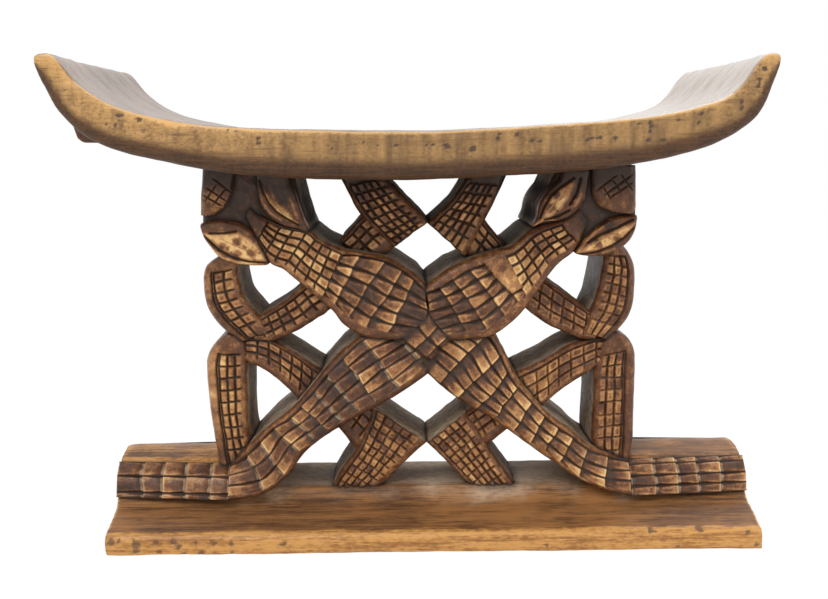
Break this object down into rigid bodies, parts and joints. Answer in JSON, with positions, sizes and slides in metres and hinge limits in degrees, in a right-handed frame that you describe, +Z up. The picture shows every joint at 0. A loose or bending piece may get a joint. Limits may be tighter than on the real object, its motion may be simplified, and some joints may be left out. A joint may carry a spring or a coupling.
{
  "type": "carved stool",
  "caption": "Low carved wooden stool: wide seat with upswept ends on an openwork of two crossed crocodiles over a slab base with raised ridges.",
  "frame": {"origin": "middle of the whole stool's length and depth, on the floor", "axes": "+X along the seat to the right, +Y from the carved front to the equal back, +Z up"},
  "size_m": [0.5663, 0.281, 0.401],
  "materials": {
    "seat_wood": "hand-carved hardwood, worn and waxed, golden brown with darker edges",
    "carved_wood": "chip-carved hardwood stained dark, worn to gold on the high spots",
    "base_wood": "hand-carved hardwood stained brown, worn pale along the lip"
  },
  "bodies": {
    "root": {"base": "base_wood", "left_croc_chest": "carved_wood", "left_croc_head": "carved_wood", "left_croc_hips": "carved_wood", "left_croc_inner_eye": "carved_wood", "left_croc_inner_foreleg_lower": "carved_wood", "left_croc_inner_foreleg_upper": "carved_wood", "left_croc_inner_hindleg_lower": "carved_wood", "left_croc_inner_hindleg_upper": "carved_wood", "left_croc_outer_eye": "carved_wood", "left_croc_outer_foreleg_lower": "carved_wood", "left_croc_outer_foreleg_upper": "carved_wood", "left_croc_outer_hindleg_lower": "carved_wood", "left_croc_outer_hindleg_upper": "carved_wood", "left_croc_snout": "carved_wood", "left_croc_tail_back": "carved_wood", "left_croc_tail_front": "carved_wood", "left_ridge": "base_wood", "right_croc_chest": "carved_wood", "right_croc_head": "carved_wood", "right_croc_hips": "carved_wood", "right_croc_inner_eye": "carved_wood", "right_croc_inner_foreleg_lower": "carved_wood", "right_croc_inner_foreleg_upper": "carved_wood", "right_croc_inner_hindleg_lower": "carved_wood", "right_croc_inner_hindleg_upper": "carved_wood", "right_croc_outer_eye": "carved_wood", "right_croc_outer_foreleg_lower": "carved_wood", "right_croc_outer_foreleg_upper": "carved_wood", "right_croc_outer_hindleg_lower": "carved_wood", "right_croc_outer_hindleg_upper": "carved_wood", "right_croc_snout": "carved_wood", "right_croc_tail_back": "carved_wood", "right_croc_tail_front": "carved_wood", "right_ridge": "base_wood", "seat": "seat_wood", "seat_lug": "seat_wood"}
  },
  "joints": []
}
